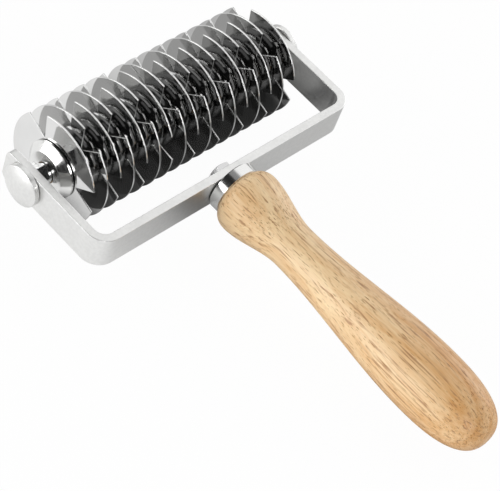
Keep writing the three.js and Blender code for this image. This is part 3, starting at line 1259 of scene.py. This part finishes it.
@dataclass
class Axle:
    """The fixed rod through the roller, with the thrust collars, hex nuts and domed nuts at its ends."""

    shop: Workshop
    rod_radius: float = 3.0 * MM
    rod_ease: float = 0.4 * MM
    collar_radius: float = 4.37 * MM
    collar_ease: float = 0.3 * MM
    nut_flats: float = 10.0 * MM
    cap_radius: float = 9.1 * MM
    cap_rim: float = 2.3 * MM
    cap_ease: float = 0.35 * MM
    bore_room: float = 0.3 * MM
    dome_steps: int = 20
    edge_steps: int = 5
    sides: int = 72

    @property
    def bore(self) -> float:
        """Radius of the holes that pass the rod."""
        return self.rod_radius + self.bore_room

    def build(self) -> None:
        """Build every piece of the axle."""
        self.build_rod()
        for side in Side:
            self.build_collar(side)
            self.build_nut(side)
            self.build_cap(side)

    def build_rod(self) -> bpy.types.Object:
        """Build the rod.

        Returns:
            The piece.
        """
        profile = rod_profile(self.rod_radius, *span_along_axle("axle_rod"), self.rod_ease)
        mesh = turned("axle", profile, self.sides)
        along = Side.RIGHT.outward
        return self.shop.add("axle_turned", mesh, along, Slot.PLAIN_STEEL, Body.FRAME, ["axle_rod"])

    def build_collar(self, side: Side) -> bpy.types.Object:
        """Build the thrust collar between a hex nut and the roller.

        Args:
            side: Which end.

        Returns:
            The piece.
        """
        node = f"thrust_collar_{side.word}"
        near, far = span_outward(node)
        profile = tube_profile(self.bore, self.collar_radius, near, far, self.collar_ease)
        mesh = turned(node, profile, self.sides)
        name = f"thrust_{side.word}_turned"
        return self.shop.add(name, mesh, side.outward, Slot.PLAIN_STEEL, Body.FRAME, [node])

    def build_nut(self, side: Side) -> bpy.types.Object:
        """Build the hex nut against the inside of an arm.

        Args:
            side: Which end.

        Returns:
            The piece.
        """
        node = f"jam_nut_{side.word}"
        near, far = span_outward(node)
        bore = [level_ring(self.bore, far), level_ring(self.bore, near)]
        mesh = lofted(node, [*bore, *hex_sections(self.nut_flats, near, far)], looped=True)
        name = f"nut_{side.word}_hex"
        return self.shop.add(name, mesh, side.outward, Slot.PLAIN_STEEL, Body.FRAME, [node])

    def build_cap(self, side: Side) -> bpy.types.Object:
        """Build the domed nut outside an arm, with its blind bore.

        Args:
            side: Which end.

        Returns:
            The piece.
        """
        node = f"cap_nut_{side.word}"
        base, top = span_outward(node)
        rim, ease = base + self.cap_rim, self.cap_ease
        rise = top - rim
        dome = (self.cap_radius**2 + rise**2) / (2 * rise)
        slope = math.degrees(math.asin((self.cap_radius - ease) / dome))
        blind = max(abs(end) for end in span_along_axle("axle_rod")) + self.bore_room
        crown = arc((0, top - dome), dome, 90 - slope, 90, self.dome_steps)
        _, shoulder = crown[0]
        centre = (self.cap_radius - ease, shoulder - ease * math.cos(math.radians(slope)))
        edge = arc(centre, ease, 0, 90 - slope, self.edge_steps)
        profile = [
            (0, blind),
            (self.bore, blind),
            (self.bore, base),
            (self.cap_radius - ease, base),
            (self.cap_radius, base + ease),
            *edge,
            *crown[1:-1],
            (0, top),
        ]
        mesh = turned(node, profile, self.sides)
        name = f"cap_{side.word}_domed"
        return self.shop.add(name, mesh, side.outward, Slot.SATIN_STEEL, Body.FRAME, [node])


@dataclass
class Yoke:
    """A flat bar with eased edges, bent into a U, with holes for the axle and the handle's bolt."""

    shop: Workshop
    bar_thickness: float = 3.7 * MM
    bar_width: float = 15.3 * MM
    bend_radius: float = 5.0 * MM
    edge_ease: float = 0.25 * MM
    arm_overhang: float = 12.5 * MM
    arm_corner: float = 3.0 * MM
    hole_radius: float = 3.2 * MM
    hold: float = 0.25 * MM
    corner_steps: int = 4
    bend_steps: int = 18
    end_steps: int = 8
    hole_sides: int = 48
    largest_ease: float = 0.6

    def __post_init__(self) -> None:
        """Work out the bent path along the middle of the bar."""
        self.half = self.bar_thickness / 2
        self.path_radius = self.bend_radius + self.half
        self.arm_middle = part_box("yoke")[1].x - self.half
        self.bend_x = self.arm_middle - self.path_radius
        self.bend_y = self.shop.place.crossbar + self.path_radius
        self.arm_length = self.arm_overhang - self.bend_y
        self.bend_length = self.path_radius * math.pi / 2

    def build(self) -> None:
        """Build the bar and drill it."""
        stations = self.stations()
        rings = [self.ring(station) for station in stations]
        rings += [[(-x, y, z) for x, y, z in ring] for ring in reversed(rings)]
        bar = lofted("yoke", rings, looped=False)
        reach = 2 * self.arm_middle
        axle = turned("axle_drill", rod_profile(self.hole_radius, -reach, reach, self.hold), self.hole_sides)
        axle.transform(Side.RIGHT.outward)
        bolt = turned("bolt_drill", rod_profile(self.hole_radius, -reach, 0, self.hold), self.hole_sides)
        bolt.transform(Matrix.Rotation(math.radians(-90), 4, "X"))
        mesh = drilled(bar, [axle, bolt])
        self.shop.add("yoke_bent_bar", mesh, Matrix(), Slot.SATIN_STEEL, Body.FRAME, ["yoke"])

    def stations(self) -> list[float]:
        """Lengths along the left half of the bar at which it gets a ring, from the free end to the middle.

        Returns:
            The lengths in order.
        """
        quarter = [math.radians(90 * step / self.end_steps) for step in range(self.end_steps + 1)]
        end = {self.edge_ease * (1 - math.cos(angle)) for angle in quarter[::2]}
        end |= {self.arm_corner * (1 - math.cos(angle)) for angle in quarter}
        steps = range(self.bend_steps + 1)
        bend = [self.arm_length + self.bend_length * step / self.bend_steps for step in steps]
        hold = [self.arm_corner + self.hold, bend[0] - self.hold, bend[-1] + self.hold]
        return sorted({round(length, 7) for length in [*end, *bend, *hold]})

    def ring(self, station: float) -> list[Place]:
        """Section of the bar at a length along its left half, with rounded and held corners.

        Args:
            station: Length from the free end.

        Returns:
            Points round the section, in the tool's own axes.
        """
        past = max(self.edge_ease - station, 0)
        thick = self.half - self.edge_ease + math.sqrt(self.edge_ease**2 - past**2)
        past = max(self.arm_corner - station, 0)
        wide = self.bar_width / 2 - self.arm_corner + math.sqrt(self.arm_corner**2 - past**2)
        ease = min(self.edge_ease, thick * self.largest_ease)
        points = []
        for start, (out, up) in zip((0, 90, 180, 270), ((1, 1), (-1, 1), (-1, -1), (1, -1))):
            centre = (out * (thick - ease), up * (wide - ease))
            corner = arc(centre, ease, start, start + 90, self.corner_steps)
            along = Vector((-math.sin(math.radians(start)), math.cos(math.radians(start))))
            onward = Vector((-along.y, along.x))
            points.append(Vector(corner[0]) - self.hold * along)
            points.extend(Vector(point) for point in corner)
            points.append(Vector(corner[-1]) + self.hold * onward)
        return [(*self.bent(station, offset), height) for offset, height in points]

    def bent(self, station: float, offset: float) -> Point:
        """Where a point of the straight bar goes on its left half.

        Args:
            station: Length from the free end.
            offset: Distance from the middle of the bar, outwards.

        Returns:
            X and Y in the tool's own axes.
        """
        into_bend = station - self.arm_length
        if into_bend <= 0:
            return -self.arm_middle - offset, self.arm_overhang - station
        if into_bend < self.bend_length:
            angle = into_bend / self.path_radius
            radius = self.path_radius + offset
            return -self.bend_x - radius * math.cos(angle), self.bend_y - radius * math.sin(angle)
        return into_bend - self.bend_length - self.bend_x, self.shop.place.crossbar - offset


@dataclass
class Handle:
    """The turned wooden handle, with its collar, bolt and threaded insert.

    Stations run along the handle from the crossbar's outer face.
    """

    shop: Workshop
    bar_thickness: float = 3.7 * MM
    fit_gap: float = 0.3 * MM
    collar_length: float = 4.9 * MM
    collar_radius: float = 11.4 * MM
    collar_chamfer: float = 0.4 * MM
    front_radius: float = 10.2 * MM
    front_ease: float = 0.35 * MM
    nose_length: float = 6.1 * MM
    nose_radius: float = 14.4 * MM
    neck_length: float = 26.1 * MM
    waist_radius: float = 9.8 * MM
    swell_length: float = 74.2 * MM
    swell_radius: float = 15.2 * MM
    end_length: float = 33.8 * MM
    end_power: float = 2.6
    bolt_radius: float = 3.0 * MM
    bolt_ease: float = 0.5 * MM
    head_flats: float = 10.0 * MM
    head_height: float = 3.2 * MM
    insert_wall: float = 1.5 * MM
    insert_length: float = 20.0 * MM
    insert_setback: float = 0.5 * MM
    tip_room: float = 2.0 * MM
    round_steps: int = 40
    neck_steps: int = 36
    swell_steps: int = 60
    sides: int = 96

    def __post_init__(self) -> None:
        """Work out the stations and the handle's place."""
        self.front = self.collar_length + 2 * self.fit_gap
        self.nose_end = self.front + self.nose_length
        self.neck_end = self.nose_end + self.neck_length
        self.swell_end = self.neck_end + self.swell_length
        self.insert_bore = self.bolt_radius + self.fit_gap
        self.insert_start = self.front + self.insert_setback
        self.insert_end = self.insert_start + self.insert_length
        outer_face = self.shop.place.crossbar - self.bar_thickness / 2
        self.local = Matrix.Translation((0, outer_face, 0)) @ Matrix.Rotation(math.radians(90), 4, "X")

    def build(self) -> None:
        """Build every piece of the handle."""
        self.build_collar()
        self.build_bolt()
        self.build_insert()
        self.build_wood()

    def add(self, name: str, mesh: bpy.types.Mesh, slot: Slot, node: str) -> bpy.types.Object:
        """Set a piece made along the stations in its place on the frame.

        Args:
            name: Name of the piece.
            mesh: Its mesh.
            slot: Its finish.
            node: The solid that it stands for.

        Returns:
            The piece.
        """
        return self.shop.add(name, mesh, self.local, slot, Body.FRAME, [node])

    def build_collar(self) -> bpy.types.Object:
        """Build the polished collar between crossbar and wood.

        Returns:
            The piece.
        """
        ease = self.collar_chamfer
        profile = tube_profile(self.insert_bore, self.collar_radius, self.fit_gap, self.front, ease)
        mesh = turned("collar", profile, self.sides)
        return self.add("collar_turned", mesh, Slot.POLISHED_STEEL, "handle_collar")

    def build_insert(self) -> bpy.types.Object:
        """Build the threaded insert in the wood.

        Returns:
            The piece.
        """
        outside = self.insert_bore + self.insert_wall
        profile = tube_profile(self.insert_bore, outside, self.insert_start, self.insert_end, self.fit_gap)
        mesh = turned("insert", profile, self.sides)
        return self.add("insert_turned", mesh, Slot.BRONZE, "thread_insert")

    def build_bolt(self) -> bpy.types.Object:
        """Build the hex bolt, with a flat on top and a chamfered head.

        Returns:
            The piece.
        """
        seat = -self.bar_thickness - self.fit_gap
        top = seat - self.head_height
        rings = [
            [(0, 0, top)],
            *hex_sections(self.head_flats, top, seat),
            level_ring(self.bolt_radius, seat),
            level_ring(self.bolt_radius, self.insert_end - self.bolt_ease),
            level_ring(self.bolt_radius - self.bolt_ease, self.insert_end),
            [(0, 0, self.insert_end)],
        ]
        return self.add("bolt_hex", lofted("bolt", rings, looped=False), Slot.PLAIN_STEEL, "handle_bolt")

    def radius_at(self, station: float) -> float:
        """Radius of the wood: a rounded nose, a waist, a swell and a rounded end.

        Args:
            station: Distance from the crossbar.

        Returns:
            The radius there.
        """
        if station < self.nose_end:
            back = min((self.nose_end - station) / self.nose_length, 1)
            return self.front_radius + (self.nose_radius - self.front_radius) * math.sqrt(1 - back**2)
        if station < self.neck_end:
            share = (station - self.nose_end) / self.neck_length
            return self.nose_radius + (self.waist_radius - self.nose_radius) * share**2 * (3 - 2 * share)
        if station < self.swell_end:
            share = (station - self.neck_end) / self.swell_length
            return self.waist_radius + (self.swell_radius - self.waist_radius) * share**2 * (3 - 2 * share)
        along = min((station - self.swell_end) / self.end_length, 1)
        return self.swell_radius * (1 - along**self.end_power) ** (1 / self.end_power)

    def build_wood(self) -> bpy.types.Object:
        """Build the turned wood with the blind bore for its insert.

        Returns:
            The piece.
        """
        bore = self.insert_bore + self.insert_wall + self.fit_gap
        bottom = self.insert_end + self.tip_room
        quarter = [math.pi / 2 * step / self.round_steps for step in range(self.round_steps)]
        stations = [self.front + self.nose_length * (1 - math.cos(angle)) for angle in quarter[1::2]]
        for start, length, steps in (
            (self.nose_end, self.neck_length, self.neck_steps),
            (self.neck_end, self.swell_length, self.swell_steps),
        ):
            stations += [start + length * step / steps for step in range(steps)]
        stations += [self.swell_end + self.end_length * math.sin(angle) for angle in quarter]
        profile = [
            (0, bottom),
            (bore, bottom),
            (bore, self.front),
            (self.front_radius - self.front_ease, self.front),
            *((self.radius_at(station), station) for station in stations),
            (0, self.swell_end + self.end_length),
        ]
        mesh = turned("wood", profile, self.sides)
        return self.add("handle_turned", mesh, Slot.HANDLE_WOOD, "wooden_handle")


@dataclass(frozen=True)
class Softbox:
    """A soft lamp that looks at the tool.

    Attributes:
        name: Name of the lamp.
        direction: Where it stands, seen from the tool.
        distance: How far away it stands.
        width: Its width.
        height: Its height.
        brightness: Light that it sends from each bit of its face, where 1 is white.
    """

    name: str
    direction: Place
    distance: float
    width: float
    height: float
    brightness: float

    def build(self, target: Vector) -> bpy.types.Object:
        """Make the lamp.

        Args:
            target: Point that it looks at.

        Returns:
            The lamp.
        """
        light = bpy.data.lights.new(self.name, "AREA")
        light.shape = "RECTANGLE"
        light.size = self.width
        light.size_y = self.height
        light.energy = self.brightness * math.pi * self.width * self.height
        lamp = bpy.data.objects.new(self.name, light)
        away = Vector(self.direction).normalized()
        lamp.location = target + away * self.distance
        lamp.rotation_euler = (-away).to_track_quat("-Z", "Y").to_euler()
        bpy.context.scene.collection.objects.link(lamp)
        return lamp


@dataclass(frozen=True)
class Viewpoint:
    """The photograph's camera.

    Attributes:
        position: Where it stands.
        forward: Where it looks.
        up: Its upper side.
        lens: Focal length on a sensor of the given width, in millimetres.
        sensor: Width of the sensor, in millimetres.
    """

    position: Place = (-0.45848, -0.25972, 0.59641)
    forward: Place = (0.57162, 0.34941, -0.7424)
    up: Place = (0.43111, 0.64195, 0.63408)
    lens: float = 142.91
    sensor: float = 36.0

    def build(self) -> bpy.types.Object:
        """Make the camera and hand it to the scene.

        Returns:
            The camera.
        """
        data = bpy.data.cameras.new("photo_camera")
        data.sensor_width = self.sensor
        data.lens = self.lens
        camera = bpy.data.objects.new("photo_camera", data)
        back = -Vector(self.forward).normalized()
        right = Vector(self.up).cross(back).normalized()
        axes = Matrix((right, back.cross(right), back)).transposed()
        camera.matrix_world = Matrix.Translation(self.position) @ axes.to_4x4()
        bpy.context.scene.collection.objects.link(camera)
        bpy.context.scene.camera = camera
        return camera


@dataclass(frozen=True)
class Card:
    """A round card on the walls, lighter than they are, that fades out at its edge.

    Attributes:
        side: Where it hangs, seen from the tool.
        brightness: Its brightness, where 1 is white.
        core: Angle from its middle at which it starts to fade, in degrees.
        edge: Angle at which it has faded into the walls, in degrees.
    """

    side: Place
    brightness: float
    core: float
    edge: float

    def lay_over(self, graph: Graph, walls: object) -> bpy.types.NodeSocket:
        """Hang the card in front of the walls.

        Args:
            graph: The world's graph.
            walls: Brightness of what is behind it.

        Returns:
            Socket with the brightness of both.
        """
        direction = graph.add("ShaderNodeTexCoord").outputs["Generated"]
        nearness = graph.vector("DOT_PRODUCT", direction, Vector(self.side).normalized()).outputs["Value"]
        share = graph.ramp(nearness, math.cos(math.radians(self.edge)), math.cos(math.radians(self.core)))
        rest = graph.math("MULTIPLY", graph.math("SUBTRACT", 1.0, share), walls)
        return graph.math("MULTIPLY_ADD", share, self.brightness, rest)


@dataclass
class Studio:
    """Pale floor, soft lamps, dark walls with light cards, and the camera.

    Attributes:
        floor_size: Length of the floor's sides.
        floor_drop: How far the floor lies under the tool.
        floor_colour: Colour of the paper.
        floor_tone: Share of that colour in its darker patches.
        floor_marks: Patches per metre.
        floor_roughness: Roughness of the paper.
        floor_gloss: Specular level of the paper.
        seen_glow: Share of white where the camera sees the floor.
        mirrored_glow: Share of white where the floor is seen in a mirror, away from the tool.
        shade_reach: How far away something still shades the floor that is seen in a mirror.
        shade_side: Where the light on that floor comes from.
        shade_open: Open shares of the sky at which that floor is darkest and at which it is lightest.
        shade_dark: Its brightness where it is darkest.
        fall_side: Direction in which that floor gets lighter.
        fall_span: Where it starts to get lighter and where it is lightest, in that direction.
        fall_dark: Share of its brightness at the start.
        walls: Brightness of the walls.
        cards: The cards on the walls.
        softboxes: The lamps.
    """

    floor_size: float = 12.0
    floor_drop: float = 0.1 * MM
    floor_colour: Colour = (0.93, 0.93, 0.93)
    floor_tone: float = 0.98
    floor_marks: float = 3.0
    floor_roughness: float = 0.9
    floor_gloss: float = 0.1
    seen_glow: float = 0.97
    mirrored_glow: float = 1.1
    shade_reach: float = 0.035
    shade_side: Place = (-0.75, 0.25, 0.6)
    shade_open: Point = (0.3, 0.78)
    shade_dark: float = 0.07
    fall_side: Place = (-1.0, 0.2, 0.0)
    fall_span: Point = (0.035, 0.09)
    fall_dark: float = 0.6
    walls: float = 0.02
    cards: tuple[Card, ...] = (
        Card((0.1, 1.0, 0.15), 0.75, 35, 55),
        Card((0.78, 0.15, 0.6), 1.2, 32, 44),
        Card((0.75, -0.6, 0.2), 1.1, 32, 44),
    )
    softboxes: tuple[Softbox, ...] = (
        Softbox("left_softbox", (-0.85, 0.47, 0.24), 1.1, 1.3, 0.65, 3.9),
        Softbox("front_softbox", (-0.5, -0.75, 0.42), 1.1, 0.32, 0.5, 8.0),
        Softbox("top_softbox", (0.0, 0.05, 1.0), 1.1, 0.45, 0.9, 0.3),
        Softbox("right_softbox", (0.95, -0.15, 0.28), 1.1, 0.6, 0.6, 2.0),
    )

    def build(self) -> None:
        """Build the whole studio."""
        self.build_floor()
        self.build_walls()
        low, high = CAD_BOX
        for softbox in self.softboxes:
            softbox.build((low + high) / 2)
        Viewpoint().build()
        bpy.context.scene.view_settings.view_transform = "Standard"

    def build_floor(self) -> bpy.types.Object:
        """Build the floor, which is white where it is seen or mirrored and still takes the tool's shadow.

        Returns:
            The floor.
        """
        half = self.floor_size / 2
        corners = [(-half, -half), (half, -half), (half, half), (-half, half)]
        mesh = bpy.data.meshes.new("floor")
        mesh.from_pydata([(x, y, -self.floor_drop) for x, y in corners], [], [(0, 1, 2, 3)])
        material, graph, shader = shader_graph("floor_paper")
        spot = graph.add("ShaderNodeTexCoord").outputs["Object"]
        tone = graph.noise(spot, (self.floor_marks,) * 3).outputs["Fac"]
        dark = tuple(channel * self.floor_tone for channel in self.floor_colour)
        graph.feed(shader.inputs["Base Color"], graph.blend(tone, dark, self.floor_colour))
        shader.inputs["Roughness"].default_value = self.floor_roughness
        shader.inputs["Specular IOR Level"].default_value = self.floor_gloss
        path = graph.add("ShaderNodeLightPath").outputs
        seen = graph.math("MULTIPLY", path["Is Camera Ray"], self.seen_glow)
        mirrored = graph.math("MAXIMUM", path["Is Glossy Ray"], path["Is Transmission Ray"])
        brightness = graph.math("MULTIPLY", self.mirrored_brightness(graph, spot), mirrored)
        strength = graph.math("MAXIMUM", path["Is Camera Ray"], brightness)
        emission = graph.add("ShaderNodeEmission", {"Strength": strength})
        mixed = graph.add("ShaderNodeMixShader", {"Fac": graph.math("MAXIMUM", seen, mirrored)})
        graph.feed(mixed.inputs[1], shader.outputs["BSDF"])
        graph.feed(mixed.inputs[2], emission.outputs["Emission"])
        graph.feed(material.node_tree.nodes["Material Output"].inputs["Surface"], mixed.outputs["Shader"])
        mesh.materials.append(material)
        floor = bpy.data.objects.new("floor", mesh)
        bpy.context.scene.collection.objects.link(floor)
        return floor

    def mirrored_brightness(self, graph: Graph, spot: object) -> bpy.types.NodeSocket:
        """Brightness of the floor that metal mirrors, shaded near the tool and lighter to the left.

        Args:
            graph: The floor's graph.
            spot: Socket with the place on the floor.

        Returns:
            Socket with the brightness, where 1 is white.
        """
        shade = {"Distance": self.shade_reach, "Normal": Vector(self.shade_side).normalized()}
        unshaded = graph.add("ShaderNodeAmbientOcclusion", shade).outputs["AO"]
        shaded = graph.ramp(unshaded, *self.shade_open, self.shade_dark, self.mirrored_glow)
        along = graph.vector("DOT_PRODUCT", spot, self.fall_side).outputs["Value"]
        return graph.math("MULTIPLY", shaded, graph.ramp(along, *self.fall_span, self.fall_dark, 1.0))

    def build_walls(self) -> bpy.types.World:
        """Build the world: the walls with their cards, and white for the camera.

        Returns:
            The world.
        """
        world = bpy.data.worlds.new("studio")
        world.use_nodes = True
        bpy.context.scene.world = world
        graph = Graph(world.node_tree)
        surround = self.walls
        for card in self.cards:
            surround = card.lay_over(graph, surround)
        camera = graph.add("ShaderNodeLightPath").outputs["Is Camera Ray"]
        background = world.node_tree.nodes["Background"]
        graph.feed(background.inputs["Strength"], graph.math("MAXIMUM", surround, camera))
        background.inputs["Color"].default_value = (1.0, 1.0, 1.0, 1.0)
        return world


def main() -> None:
    """Build the sub-assemblies in order, then the studio."""
    logging.basicConfig(level=logging.INFO, format="%(name)s: %(message)s")
    place = ToolPlace.from_record(frame["record"])
    shop = Workshop(place, {slot: finish.build(slot, place) for slot, finish in FINISHES.items()})
    for assembly in (Roller(shop), Axle(shop), Yoke(shop), Handle(shop)):
        LOG.info("building the %s", type(assembly).__name__.lower())
        assembly.build()
    Studio().build()


if __name__ == "__main__":
    main()
